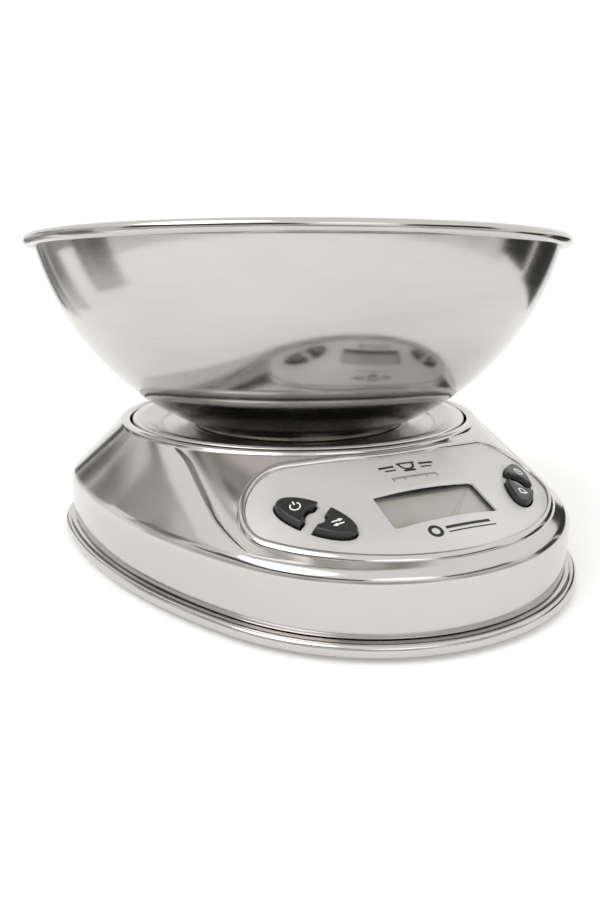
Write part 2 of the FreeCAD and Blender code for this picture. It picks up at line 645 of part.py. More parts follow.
# ---- Check and write ----
doc.recompute()
for item in doc.Objects:
    if {"Invalid", "Error"} & set(item.State):
        raise RuntimeError(f"{item.Name} failed: {item.State}")
os.makedirs("parts", exist_ok=True)
for item in nodes:
    shape = item.Shape
    if shape.isNull() or not shape.isValid() or shape.Volume <= 0:
        raise RuntimeError(f"{item.Label} has a bad shape")
    shape.exportStep(f"parts/{item.Label}.step")
    bounds = shape.BoundBox
    print(f"{item.Label:24s} solids {len(shape.Solids)}  volume {shape.Volume / 1000:9.3f} cm3  "
          f"z {bounds.ZMin:6.1f} {bounds.ZMax:6.1f}  y {bounds.YMin:7.1f} {bounds.YMax:7.1f}")
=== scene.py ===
import bmesh
import bpy
import math
from mathutils import Matrix, Vector


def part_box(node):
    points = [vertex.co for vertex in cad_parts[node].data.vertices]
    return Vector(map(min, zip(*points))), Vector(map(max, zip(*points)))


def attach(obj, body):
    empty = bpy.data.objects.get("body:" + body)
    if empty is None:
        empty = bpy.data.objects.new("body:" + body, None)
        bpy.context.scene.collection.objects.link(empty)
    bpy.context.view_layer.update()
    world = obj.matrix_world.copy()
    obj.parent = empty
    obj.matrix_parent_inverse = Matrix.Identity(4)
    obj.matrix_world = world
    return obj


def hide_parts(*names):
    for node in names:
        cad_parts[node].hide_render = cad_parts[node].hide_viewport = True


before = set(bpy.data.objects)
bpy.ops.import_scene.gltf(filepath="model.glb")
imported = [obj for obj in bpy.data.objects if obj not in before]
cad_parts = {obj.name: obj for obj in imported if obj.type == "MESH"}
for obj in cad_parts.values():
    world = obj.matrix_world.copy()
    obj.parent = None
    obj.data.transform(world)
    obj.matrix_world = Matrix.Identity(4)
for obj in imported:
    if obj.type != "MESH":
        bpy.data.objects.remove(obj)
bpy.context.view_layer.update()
mm = 0.001
up = Vector((0, 0, 1))

# Everything is modelled in millimetres and scaled to metres when a piece is finished.
bowlLow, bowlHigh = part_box("bowl")
axis = Vector(((bowlLow.x + bowlHigh.x) / 2, (bowlLow.y + bowlHigh.y) / 2, 0)) / mm
print("frame loaded, bowl axis", [round(c, 2) for c in axis])

# distances in millimetres, turns in radians
view = {"distance": 291.2, "turn": -0.4403, "height": 103.17, "pan": -0.0027, "tilt": 0.2494,
        "lens": 26.294, "sensor": 36, "near": 0.01}
lensData = bpy.data.cameras.new("camera")
lensData.lens = view["lens"]
lensData.sensor_width = view["sensor"]
lensData.clip_start = view["near"]
camera = bpy.data.objects.new("camera", lensData)
camera.location = Vector((axis.x + view["distance"] * math.sin(view["turn"]),
                          axis.y - view["distance"] * math.cos(view["turn"]), view["height"])) * mm
camera.rotation_euler = (math.pi / 2 - view["tilt"], 0, view["turn"] + view["pan"])
bpy.context.scene.collection.objects.link(camera)
bpy.context.scene.camera = camera
bpy.context.scene.view_settings.view_transform = "Standard"


class Wire:  # one socket, so that sums on it become Math nodes
    def __init__(self, finish, socket):
        self.finish = finish
        self.socket = socket

    def join(self, operation, first, second=None):
        return self.finish.node("ShaderNodeMath", {"operation": operation}, {0: first, 1: second})[0]

    def __add__(self, other):
        return self.join("ADD", self, other)

    def __sub__(self, other):
        return self.join("SUBTRACT", self, other)

    def __rsub__(self, other):
        return self.join("SUBTRACT", other, self)

    def __mul__(self, other):
        return self.join("MULTIPLY", self, other)

    __radd__ = __add__
    __rmul__ = __mul__


class Finish:  # a material under construction
    def __init__(self, name):
        self.material = bpy.data.materials.new(name)
        self.material.use_nodes = True
        self.tree = self.material.node_tree
        self.shader = self.tree.nodes["Principled BSDF"]
        self.out = self.tree.nodes["Material Output"]

    def feed(self, socket, value):
        if isinstance(value, Wire):
            self.tree.links.new(value.socket, socket)
        elif value is not None:
            socket.default_value = value

    def node(self, kind, settings=None, values=None):
        made = self.tree.nodes.new(kind)
        for key, value in (settings or {}).items():
            setattr(made, key, value)
        for key, value in (values or {}).items():
            self.feed(made.inputs[key], value)
        return [Wire(self, socket) for socket in made.outputs]

    def place(self):  # object coordinates
        return self.node("ShaderNodeTexCoord")[3]

    def joined(self, x, y, z=0.0):
        return self.node("ShaderNodeCombineXYZ", None, {0: x, 1: y, 2: z})[0]

    def noise(self, vector, scale, detail=2.0, roughness=0.5):
        return self.node("ShaderNodeTexNoise", None,
                         {"Vector": vector, "Scale": scale, "Detail": detail, "Roughness": roughness})[0]

    def mapped(self, value, low, high, newLow, newHigh):
        return self.node("ShaderNodeMapRange", None, {0: value, 1: low, 2: high, 3: newLow, 4: newHigh})[0]

    def blend(self, mask, first, second):
        return self.node("ShaderNodeMix", {"data_type": "RGBA"}, {0: mask, 6: first, 7: second})[2]

    def bump(self, height, strength, distance):
        return self.node("ShaderNodeBump", None,
                         {"Height": height, "Strength": strength, "Distance": distance})[0]

    def surface(self, **sockets):
        for key, value in sockets.items():
            self.feed(self.shader.inputs[key.replace("_", " ")], value)
        return self.material


def tone(colour, factor=1.0):
    return (colour[0] * factor, colour[1] * factor, colour[2] * factor, 1.0)


def turnedSteel(name, colour, look):  # steel brushed in rings round the bowl axis
    made = Finish(name)
    spot = made.node("ShaderNodeVectorMath", {"operation": "SUBTRACT"}, {0: made.place(), 1: axis * mm})[0]
    parts = made.node("ShaderNodeSeparateXYZ", None, {0: spot})
    flat = made.joined(parts[0], parts[1])
    reach = made.node("ShaderNodeVectorMath", {"operation": "LENGTH"}, {0: flat})[1]
    along = made.node("ShaderNodeVectorMath", {"operation": "NORMALIZE"}, {0: flat})[0]
    heading = made.node("ShaderNodeSeparateXYZ", None, {0: along})
    travel = reach * 0.8 + parts[2]  # grows up the wall and across the floor alike
    ring = made.joined(heading[0] * look["stroke"], heading[1] * look["stroke"], travel * look["lines"])
    lines = made.noise(ring, 1.0, 3.0, 0.65)
    broad = made.noise(made.joined(heading[0] * 2.2, heading[1] * 2.2, travel * 60.0), 1.0, 2.0)
    smear = made.noise(spot, 24.0, 4.0, 0.6)
    rough = made.mapped(lines, 0.3, 0.7, look["rough"] - 0.03, look["rough"] + 0.04)
    rough = rough + (smear - 0.5) * look["smear"]
    shade = made.blend(made.mapped(broad * 0.6 + lines * 0.4, 0.35, 0.65, 0.0, 1.0),
                       tone(colour, 0.94), tone(colour, 1.04))
    return made.surface(Base_Color=shade, Metallic=1.0, Roughness=rough, Anisotropic=look["pull"],
                        Normal=made.bump(lines, look["depth"], 0.00003))


def pressedSteel(name, colour, look):  # polished sheet with faint handling marks
    made = Finish(name)
    spot = made.place()
    drawn = made.node("ShaderNodeMapping", None, {"Vector": spot, "Scale": (60, 60, 1400)})[0]
    grain = made.noise(drawn, 1.0, 2.0)
    smear = made.noise(spot, 30.0, 4.0, 0.6)
    haze = made.mapped(smear, 0.35, 0.7, 0.0, look["haze"])
    shade = made.blend(made.mapped(smear, 0.3, 0.7, 0.0, 1.0), tone(colour, 0.97), tone(colour, 1.02))
    return made.surface(Base_Color=shade, Metallic=1.0, Roughness=haze + grain * 0.03 + look["rough"],
                        Normal=made.bump(grain, look["depth"], 0.00002))


# rubber, plastic, painted or cast parts: a fine grain over slow patches of tone
def moulded(name, colour, rough, grainSize=900.0, depth=0.15, metal=0.0, spread=0.12, coat=0.0):
    made = Finish(name)
    spot = made.place()
    grain = made.noise(spot, grainSize, 3.0, 0.6)
    patch = made.noise(spot, 38.0, 3.0, 0.55)
    shade = made.blend(made.mapped(patch, 0.3, 0.7, 0.0, 1.0),
                       tone(colour, 1 - spread), tone(colour, 1 + spread))
    sheen = made.mapped(patch + (grain - 0.5) * 0.4, 0.3, 0.7, rough * 0.85, rough * 1.15)
    return made.surface(Base_Color=shade, Metallic=metal, Coat_Weight=coat, Roughness=sheen,
                        Normal=made.bump(grain, depth, 0.00004))


def printed(name, colour):  # ink with fine specks
    made = Finish(name)
    speck = made.noise(made.place(), 2600.0, 2.0)
    shade = made.blend(made.mapped(speck, 0.35, 0.7, 0.0, 1.0), tone(colour, 0.88), tone(colour))
    return made.surface(Base_Color=shade, Roughness=made.mapped(speck, 0.3, 0.7, 0.38, 0.55))


def clearLens(name):  # see-through, and shiny only on its front faces
    made = Finish(name)
    smear = made.noise(made.place(), 90.0, 3.0)
    made.surface(Base_Color=(1, 1, 1, 1), Metallic=1.0, Roughness=made.mapped(smear, 0.3, 0.7, 0.02, 0.07))
    clear = made.node("ShaderNodeBsdfTransparent", None, {"Color": (0.95, 0.95, 0.94, 1)})[0]
    back = made.node("ShaderNodeNewGeometry")[6]
    shine = made.node("ShaderNodeFresnel", None, {"IOR": 1.7})[0] * (1 - back)
    gloss = Wire(made, made.shader.outputs[0])
    mixed = made.node("ShaderNodeMixShader", None, {0: shine, 1: clear, 2: gloss})[0]
    made.tree.links.new(mixed.socket, made.out.inputs["Surface"])
    return made.material


def liquidCrystal(name):  # a blank grey display, with a faint painted glow in its own colour lighting it in its recess
    made = Finish(name)
    spot = made.place()
    cells = made.noise(spot, 3000.0, 1.0)
    cloud = made.noise(spot, 26.0, 2.0)
    shade = made.blend(made.mapped(cloud, 0.3, 0.7, 0.0, 1.0), (0.41, 0.40, 0.375, 1), (0.50, 0.49, 0.46, 1))
    # the emission is a painted glow: it stands in for light that the shaded recess doesn't get
    return made.surface(Base_Color=shade, Roughness=made.mapped(cells, 0.3, 0.7, 0.4, 0.5),
                        Emission_Color=shade, Emission_Strength=0.05,
                        Normal=made.bump(cells, 0.08, 0.00002))


bowlGrain = {"stroke": 3.0, "lines": 2600.0, "rough": 0.13, "smear": 0.05, "pull": 0.55, "depth": 0.10}
trayGrain = {"stroke": 3.0, "lines": 2400.0, "rough": 0.24, "smear": 0.05, "pull": 0.5, "depth": 0.10}
baseGrain = {"haze": 0.07, "rough": 0.09, "depth": 0.02}
finishes = {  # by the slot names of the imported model, and the tray's own
    "brushed_bowl": turnedSteel("spun bowl steel", (0.545, 0.53, 0.51), bowlGrain),
    "polished_steel": pressedSteel("polished base steel", (0.585, 0.57, 0.548), baseGrain),
    "satin_panel": moulded("satin control plate", (0.62, 0.61, 0.595), 0.42, 2400.0, 0.08, 0.35, 0.03),
    "charcoal_rubber": moulded("charcoal key rubber", (0.016, 0.016, 0.0165), 0.36, 1500.0, 0.10,
                               0.0, 0.15, 0.1),
    "foot_rubber": moulded("foot rubber", (0.03, 0.03, 0.03), 0.75, 1200.0, 0.3),
    "clear_window": clearLens("clear lens"),
    "display_glass": liquidCrystal("blank display"),
    "dark_plastic": moulded("dark moulded plastic", (0.03, 0.031, 0.033), 0.45),
    "pale_plastic": moulded("pale moulded plastic", (0.62, 0.61, 0.58), 0.5),
    "board_green": moulded("circuit board", (0.02, 0.13, 0.05), 0.4, 600.0, 0.1),
    "cell_aluminium": moulded("milled aluminium", (0.66, 0.67, 0.69), 0.3, 1800.0, 0.1, 1.0, 0.05),
    "screw_steel": moulded("zinc screws", (0.58, 0.58, 0.57), 0.28, 1600.0, 0.1, 1.0, 0.08),
    "battery_can": moulded("battery sleeve", (0.05, 0.16, 0.30), 0.3, 1000.0, 0.05, 0.2),
    "lead_sleeve": moulded("lead sleeve", (0.35, 0.03, 0.03), 0.45, 900.0, 0.1),
    "tray": turnedSteel("spun tray steel", (0.68, 0.665, 0.64), trayGrain),
}
whitePrint = printed("white key print", (0.82, 0.82, 0.80))
darkPrint = printed("dark plate print", (0.012, 0.012, 0.012))

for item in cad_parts.values():
    for slot in item.material_slots:
        own = slot.material.name.split(".")[0] if slot.material else ""
        slot.material = finishes.get(own, finishes["dark_plastic"])
print("materials ready")


weld, coarseWeld = 0.002, 0.01  # how near two vertices merge, in millimetres


# a line of vertices, drawn by moves: points, or (centre, degrees, steps) arcs
def trace(bm, start, moves, turnAxis=up):
    tip = bm.verts.new(start)
    drawn = [tip]
    for move in moves:
        if isinstance(move, Vector):
            fresh = bm.verts.new(move)
            bm.edges.new((tip, fresh))
            drawn.append(fresh)
        else:
            centre, degrees, steps = move
            known = set(bm.verts)
            made = bmesh.ops.spin(bm, geom=[tip], cent=centre, axis=turnAxis, angle=math.radians(degrees),
                                  steps=steps)
            drawn += [v for v in bm.verts if v not in known]
            fresh = [v for v in made["geom_last"] if isinstance(v, bmesh.types.BMVert)][0]
        tip = fresh
    return drawn


def edgesOf(verts):
    chosen = set(verts)
    return list({edge for vert in verts for edge in vert.link_edges if edge.other_vert(vert) in chosen})


def sweep(bm, geom, moves):  # carry an edge line along arcs and straight runs seen from above
    for move in moves:
        if isinstance(move, Vector):
            lines = [part for part in geom if isinstance(part, bmesh.types.BMEdge)]
            if lines:
                geom = bmesh.ops.extrude_edge_only(bm, edges=lines)["geom"]
                geom = [part for part in geom if not isinstance(part, bmesh.types.BMFace)]
                verts = [part for part in geom if isinstance(part, bmesh.types.BMVert)]
            else:
                fresh = bm.verts.new(geom[0].co)
                bm.edges.new((geom[0], fresh))
                geom = verts = [fresh]
            bmesh.ops.translate(bm, verts=verts, vec=move)
        else:
            centre, degrees, steps = move
            geom = bmesh.ops.spin(bm, geom=geom, cent=centre, axis=up, angle=math.radians(degrees),
                                  steps=steps)["geom_last"]
    return geom


def turned(bm, start, moves, steps=192):  # a section in the XZ plane, spun round the bowl axis
    verts = trace(bm, start, moves, Vector((0, -1, 0)))
    bmesh.ops.translate(bm, verts=verts, vec=axis)
    bmesh.ops.spin(bm, geom=verts + edgesOf(verts), cent=axis, axis=up, angle=2 * math.pi, steps=steps,
                   use_merge=True)


def section(x, z):
    return Vector((x, 0, z))


def finish(name, bm, body, slot, material, *replaced, sharp=35, weighted=False):
    bmesh.ops.remove_doubles(bm, verts=bm.verts, dist=weld)
    bmesh.ops.dissolve_degenerate(bm, edges=bm.edges, dist=0.0005)
    bmesh.ops.recalc_face_normals(bm, faces=bm.faces)
    bmesh.ops.scale(bm, verts=bm.verts, vec=(mm, mm, mm))
    mesh = bpy.data.meshes.new(name)
    bm.to_mesh(mesh)
    bm.free()
    for face in mesh.polygons:
        face.use_smooth = True
    mesh.set_sharp_from_angle(angle=math.radians(sharp))
    piece = bpy.data.objects.new(name, mesh)
    bpy.context.scene.collection.objects.link(piece)
    mesh.materials.append(material)
    if weighted:
        piece.modifiers.new("flat faces lead the shading", "WEIGHTED_NORMAL").keep_sharp = True
    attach(piece, body)
    if replaced:
        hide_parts(*replaced)
    print(name, len(mesh.polygons), "faces")
    return piece


# the bowl: one arc for its wall, a curl at its rim, a foot ring under its floor
# ring and inside are (radius, height over the floor)
bowlLook = {"arcX": 7.7, "arcZ": 136.1, "arcR": 98.45, "wall": 0.8, "rim": 108.0, "curl": 2.1, "top": 120.2,
            "floor": 46.0, "wallSteps": 56, "curlTurn": 312, "curlSteps": 22,
            "ring": [(42.0, -0.8), (42.9, -1.1), (43.3, -1.7), (43.8, -2.0), (45.2, -2.0), (45.9, -1.65),
                     (46.3, -0.7), (46.8, -0.1)],
            "inside": [(46.3, 0.45), (45.0, 0.08), (43.5, 0.0), (30, 0.0), (0, 0.0)]}
centre = section(bowlLook["arcX"], bowlLook["arcZ"])
curlAt = section(bowlLook["rim"] - bowlLook["curl"], bowlLook["top"] - bowlLook["curl"])


def wallPoint(radius, z):
    return section(centre.x + math.sqrt(radius ** 2 - (centre.z - z) ** 2), z)


def bearing(point, middle):
    return math.degrees(math.atan2(point.z - middle.z, point.x - middle.x))


def onCurl(degrees):
    turn = math.radians(degrees)
    return curlAt + section(math.cos(turn), math.sin(turn)) * bowlLook["curl"]


bm = bmesh.new()
innerR = bowlLook["arcR"] - bowlLook["wall"]
outerFoot = wallPoint(bowlLook["arcR"], bowlLook["floor"] + 0.2)
outerTop, innerTop = onCurl(-142), onCurl(170)
innerStart = wallPoint(innerR, innerTop.z - 1.4)
innerFoot = wallPoint(innerR, bowlLook["floor"] + 1.1)
turned(bm, section(0, bowlLook["floor"] - 0.8), [
    *(section(radius, bowlLook["floor"] + height) for radius, height in bowlLook["ring"]), outerFoot,
    (centre, bearing(outerTop, centre) - bearing(outerFoot, centre), bowlLook["wallSteps"]),
    (curlAt, bowlLook["curlTurn"], bowlLook["curlSteps"]), innerTop + section(-0.15, -0.6), innerStart,
    (centre, bearing(innerFoot, centre) - bearing(innerStart, centre), bowlLook["wallSteps"]),
    *(section(radius, bowlLook["floor"] + height) for radius, height in bowlLook["inside"])])
finish("bowl_shell", bm, "bowl", "brushed_bowl", finishes["brushed_bowl"], "bowl")


# the weighing tray: a flat floor with a low ring pressed in it, a sloping wall and a rolled rim
# ring is (radius, height over the floor), the rims are (distance in from the edge, height over the floor)
tray = {"radius": 72.4, "floor": 44.0, "floorR": 60.0, "sheet": 0.8, "cornerR": 2.2, "cornerTurn": 62,
        "ring": [(30, 0.0), (47.5, 0.0), (48.3, 0.25), (49.2, 0.25), (50, 0.0)],
        "rim": [(5.6, 3.7), (4.9, 4.15), (4.1, 4.38), (3.2, 4.46), (1.6, 4.44), (0.75, 4.2), (0.2, 3.75),
                (0.0, 3.1), (0.0, -3.4)],
        "innerRim": [(0.8, -3.4), (0.8, 3.0), (1.9, 3.62), (4.2, 3.55)]}
high, edge = tray["floor"], tray["radius"]
bm = bmesh.new()
turned(bm, section(0, high), [
    *(section(radius, high + height) for radius, height in tray["ring"]), section(tray["floorR"] - 1.5, high),
    (section(tray["floorR"] - 1.5, high + tray["cornerR"]), tray["cornerTurn"], 8),
    *(section(edge - inward, high + height) for inward, height in tray["rim"] + tray["innerRim"]),
    section(tray["floorR"] + 1.4, high + 0.6), section(tray["floorR"] - 1.2, high - tray["sheet"]),
    section(0, high - tray["sheet"])])
finish("platform_dish", bm, "platform", "polished_steel", finishes["tray"], "platform_tray")


# the base's outline, of six tangent arcs: nose, two sides, two hips and back
base = {"halfWidth": 101.3, "wideY": 28.2, "noseY": -121.2, "noseR": 81.4, "backY": 111.2, "backR": 130.0,
        "skirt": 4.4, "ledge": 5.7, "shoulder": 24.46, "lipR": 77.5, "lipZ": 48.3, "lipHigh": 1.2,
        "wellLow": 40.2, "noseSteps": 200, "sideSteps": 84, "hipSteps": 44, "backSteps": 60}
nose = Vector((0, base["noseY"] + base["noseR"], 0))
noseDrop = base["wideY"] - nose.y
backDrop = base["wideY"] - (base["backY"] - base["backR"])


def sideRadius(drop, endRadius):
    gap = base["halfWidth"] - endRadius
    return (base["halfWidth"] ** 2 + drop ** 2 - endRadius ** 2) / (2 * gap)


sideR, hipR = sideRadius(noseDrop, base["noseR"]), sideRadius(backDrop, base["backR"])
noseTurn = math.degrees(math.atan2(noseDrop, sideR - base["halfWidth"]))
backTurn = math.degrees(math.atan2(backDrop, base["halfWidth"] - hipR))
sideX, hipX = base["halfWidth"] - sideR, base["halfWidth"] - hipR
arcSpans = [(nose, 180 - 2 * noseTurn, base["noseSteps"]),
            (Vector((sideX, base["wideY"], 0)), noseTurn, base["sideSteps"]),
            (Vector((hipX, base["wideY"], 0)), backTurn, base["hipSteps"]),
            (Vector((0, base["backY"] - base["backR"], 0)), 180 - 2 * backTurn, base["backSteps"]),
            (Vector((-hipX, base["wideY"], 0)), backTurn, base["hipSteps"]),
            (Vector((-sideX, base["wideY"], 0)), noseTurn, base["sideSteps"])]
lipSpans = [(axis, degrees, steps) for _, degrees, steps in arcSpans]
startTurn = math.radians(180 + noseTurn)
heading = Vector((math.cos(startTurn), math.sin(startTurn), 0))


def roundBase(bm, points, spans=arcSpans, middle=nose, radius=base["noseR"]):  # points: (inset, height)
    verts = [bm.verts.new(middle + heading * (radius - inset) + up * z) for inset, z in points]
    lines = [bm.edges.new(pair) for pair in zip(verts, verts[1:])]
    sweep(bm, verts + lines, spans)


# the nose's top is a slanted cone between the shoulder and the lip
lowR, highZ = base["noseR"] - base["skirt"], base["lipZ"] - base["lipHigh"]
reach = axis.y - nose.y
widen = base["lipR"] - lowR
rise = highZ - base["shoulder"]


def noseShare(x, y):  # how far up the cone a point seen from above lies, from 0 to 1
    a = reach ** 2 - widen ** 2
    b = -2 * reach * (y - nose.y) - 2 * lowR * widen
    c = (y - nose.y) ** 2 + x ** 2 - lowR ** 2
    return (-b + math.sqrt(max(b * b - 4 * a * c, 0))) / (2 * a)


def noseHeight(x, y):
    return base["shoulder"] + rise * noseShare(x, y)


def drape(verts, lift=0.0):
    for vert in verts:
        vert.co.z += noseHeight(vert.co.x, vert.co.y) + lift


# the control plate's outline, seen from above: two arcs, two rounded corners and two straight runs
plate = {"topR": 80.8, "topTurn": 14.0, "frontR": 69.3, "corner": 14.0, "topSteps": 28, "cornerSteps": 40,
         "frontSteps": 110, "beadHigh": 1.0, "thick": 0.9, "edge": 0.3, "sunk": 1.05}
phi = math.radians(plate["topTurn"])
along = (plate["topR"] + plate["corner"]) * math.sin(phi)
across = axis.y - (plate["topR"] + plate["corner"]) * math.cos(phi) - nose.y
shift = along * math.cos(phi) + across * math.sin(phi)
run = math.sqrt(shift ** 2 - along ** 2 - across ** 2 + (plate["frontR"] - plate["corner"]) ** 2) - shift
cornerX, cornerY = along + run * math.cos(phi), nose.y + across + run * math.sin(phi)
cornerTurn = math.degrees(math.atan2(cornerY - nose.y, cornerX))
plateSpans = [(Vector((0, axis.y, 0)), 2 * plate["topTurn"], plate["topSteps"]),
              Vector((run * math.cos(phi), run * math.sin(phi), 0)),
              (Vector((cornerX, cornerY, 0)), cornerTurn - 90 - plate["topTurn"], plate["cornerSteps"]),
              (nose, -180 - 2 * cornerTurn, plate["frontSteps"]),
              (Vector((-cornerX, cornerY, 0)), cornerTurn - 90 - plate["topTurn"], plate["cornerSteps"]),
              Vector((run * math.cos(phi), -run * math.sin(phi), 0))]


def roundPlate(bm, points):  # points: (growth past the outline, height)
    toward = Vector((-math.sin(phi), -math.cos(phi), 0))
    verts = [bm.verts.new(Vector((0, axis.y, z)) + toward * (plate["topR"] - grow)) for grow, z in points]
    lines = [bm.edges.new(pair) for pair in zip(verts, verts[1:])]
    known = set(bm.verts) - set(verts)
    sweep(bm, verts + lines, plateSpans)
    return [vert for vert in bm.verts if vert not in known]


def insidePlate(x, y, grow):  # whether a point lies within the outline grown by this much
    spot = Vector((x, y, 0))
    if (spot - axis).length < plate["topR"] - grow or (spot - nose).length > plate["frontR"] + grow:
        return False
    for side in (-1, 1):
        corner = Vector((side * cornerX, cornerY, 0))
        if abs(x) > cornerX * 0.999 and side * x > 0 and y > cornerY - 30:
            away = spot - corner
            turn = math.degrees(math.atan2(away.y, away.x * side))
            if away.length > plate["corner"] + grow and turn > cornerTurn:
                return False
    outward = Vector((-math.sin(phi), math.cos(phi), 0))
    lineStart = Vector((0, axis.y, 0)) - outward * plate["topR"]
    return (Vector((abs(x), y, 0)) - lineStart).dot(outward) < grow or abs(x) < lineStart.x


# the upper housing: skirt, shoulder and sloping top, with the plate's opening and the lip
# lip is (inset, height over the slope's end)
shell = {"cuts": 46, "bevel": 2.5, "sheet": 0.9, "hole": 1.0, "holeLow": 24.9, "holeBack": -40,
         "crease": 0.5, "creaseWidth": 2.8, "creaseRun": 16.0, "creaseFoot": 25.5, "creaseFlare": 0.7,
         "lowBend": 9.0, "lowBendEnd": 0.35, "highBend": 4.0, "highBendStart": 0.8,
         "lip": [(0.0, 0.0), (0.12, 0.45), (0.45, 0.85), (0.95, 1.1), (1.7, 1.2), (2.9, 1.2), (3.55, 1.05),
                 (4.0, 0.7), (4.2, 0.2)]}
bm = bmesh.new()
roundBase(bm, [(base["skirt"] + 2.2, base["ledge"] + 0.05), (base["skirt"] + 0.35, base["ledge"] + 0.05),
               (base["skirt"] + 0.06, base["ledge"] + 0.3),
               (base["skirt"], base["ledge"] + 0.8), (base["skirt"], 14.0),
               (base["skirt"], base["shoulder"])])
roundBase(bm, [(0.0, highZ)], lipSpans, axis, base["lipR"])
bmesh.ops.remove_doubles(bm, verts=bm.verts, dist=weld)
shoulderEdges = [e for e in bm.edges if all(abs(v.co.z - base["shoulder"]) < 0.01 for v in e.verts)]
lipEdges = [e for e in bm.edges if all(abs(v.co.z - highZ) < 0.01 for v in e.verts)]
bmesh.ops.bridge_loops(bm, edges=shoulderEdges + lipEdges)
bmesh.ops.bevel(bm, geom=shoulderEdges, offset=shell["bevel"], segments=8, profile=0.5, affect="EDGES",
                material=-1, offset_type="OFFSET")
# the long edges that climb the slope
rulings = [e for e in bm.edges if abs(e.verts[0].co.z - e.verts[1].co.z) > 12
           and max(v.co.z for v in e.verts) > 46]
bmesh.ops.subdivide_edges(bm, edges=rulings, cuts=shell["cuts"], use_grid_fill=True)
print("housing slope", len(bm.faces), "faces")

# the opening that the control plate sits in, with a clean edge hidden under its bead
gone = [f for f in bm.faces if f.calc_center_median().y < shell["holeBack"]
        and f.calc_center_median().z > shell["holeLow"] and f.normal.z ** 2 > 0.05
        and any(insidePlate(v.co.x, v.co.y, shell["hole"] + 0.4) for v in f.verts)]
bmesh.ops.delete(bm, geom=gone, context="FACES")
jagged = [e for e in bm.edges if e.is_boundary
          and all(v.co.y < shell["holeBack"] and 20 < v.co.z < highZ - 0.3 for v in e.verts)]
known = set(bm.verts)
ring = roundPlate(bm, [(shell["hole"], 0.0)])
bmesh.ops.remove_doubles(bm, verts=ring, dist=coarseWeld)
ring = [v for v in bm.verts if v not in known]
drape(ring)
bmesh.ops.triangle_fill(bm, use_beauty=True, use_dissolve=False, edges=jagged + edgesOf(ring), normal=up)

# a low step on each side, where the nose meets the flatter flank: it bends at both ends and fades out behind
for vert in bm.verts:
    if vert.co.z < 26.0 or vert.co.z > highZ - 0.05:
        continue
    share = (vert.co.z - shell["creaseFoot"]) / (highZ - shell["creaseFoot"])
    middle = nose.lerp(axis, (vert.co.z - base["shoulder"]) / rise)
    radius = lowR + widen * share
    turn = math.degrees(math.atan2(vert.co.y - middle.y, abs(vert.co.x)))
    lowShare = max(0.0, 1 - share / shell["lowBendEnd"])
    highShare = max(0.0, (share - shell["highBendStart"]) / (1 - shell["highBendStart"]))
    bend = shell["lowBend"] * lowShare ** 2 - shell["highBend"] * highShare ** 2
    past = -math.radians(turn + noseTurn) * radius - bend
    step = min(max(past / shell["creaseWidth"] + 0.5, 0.0), 1.0)
    sink = step * step * (3 - 2 * step) * math.exp(-max(past, 0.0) / shell["creaseRun"])
    fade = math.sin(math.pi * min(max(share, 0), 1)) ** 0.5
    out = Vector((vert.co.x, vert.co.y - middle.y, 0)).normalized() + up * shell["creaseFlare"]
    vert.co -= out.normalized() * shell["crease"] * sink * fade

# the lip round the weighing tray
lipLine = [(inset, highZ + height) for inset, height in shell["lip"]]
roundBase(bm, lipLine + [(lipLine[-1][0], base["wellLow"])], lipSpans, axis, base["lipR"])
bmesh.ops.remove_doubles(bm, verts=bm.verts, dist=coarseWeld)
bmesh.ops.recalc_face_normals(bm, faces=bm.faces)
housing = finish("housing_shell", bm, "base", "polished_steel", finishes["polished_steel"], "upper_housing",
                 sharp=50)
thick = housing.modifiers.new("sheet", "SOLIDIFY")
thick.thickness = shell["sheet"] * mm
thick.offset = -1

# the bead round the control plate
bm = bmesh.new()
beadTop = plate["beadHigh"]
roundPlate(bm, [(0.1, -0.9), (0.1, 0.15), (0.22, 0.5), (0.5, 0.8), (0.9, beadTop - 0.05), (1.3, beadTop),
                (1.7, beadTop - 0.1), (2.1, 0.65), (2.4, 0.25), (2.6, -0.25), (2.6, -0.9), (0.1, -0.9)])
drape(bm.verts)
finish("panel_bead", bm, "base", "polished_steel", finishes["polished_steel"], sharp=60)

# the foot rim: one rounded band with a groove above it
bm = bmesh.new()
roundBase(bm, [(7.5, 5.3), (4.2, 5.3), (3.6, 5.0), (3.1, 5.1), (2.5, 5.5), (1.9, 5.6), (1.3, 5.4),
               (0.85, 4.95), (0.6, 4.3), (0.55, 3.6), (0.6, 3.0), (0.75, 2.4), (1.05, 1.95), (1.5, 1.7),
               (7.5, 1.7), (7.5, 5.3)])
finish("foot_rim", bm, "base", "polished_steel", finishes["polished_steel"], "base_rim", sharp=60)
print("base done")


# the panel's own frame: u is +X, v runs up the slope, n stands off it
slope = rise / (axis.y - base["lipR"] - (base["noseY"] + base["skirt"]))
panelY = -85.15
panelTurn = math.atan(slope)
panel = Matrix.Translation((0, panelY, noseHeight(0, panelY))) @ Matrix.Rotation(panelTurn, 4, "X")
panelBack = panel.inverted()


def panelDepth(u, v):  # how far the curved surface lies from the panel plane, along n
    n = 0.0
    for _ in range(12):  # each turn brings the point nearer the surface
        spot = panel @ Vector((u, v, n))
        n += (noseHeight(spot.x, spot.y) - spot.z) / math.cos(panelTurn)
    return n


def toPlan(verts):  # a flat drawing in the panel plane becomes its plan outline
    for vert in verts:
        u, v, _ = vert.co
        spot = panel @ Vector((u, v, panelDepth(u, v)))
        vert.co = Vector((spot.x, spot.y, 0))


def ontoPanel(bm, lift=0.0):  # n is kept as the height over the curved surface
    for vert in bm.verts:
        u, v, n = vert.co
        vert.co = panel @ Vector((u, v, n + lift + panelDepth(u, v)))


window = {"width": 39.0, "depth": 15.1, "v": -4.8, "corner": 1.2}


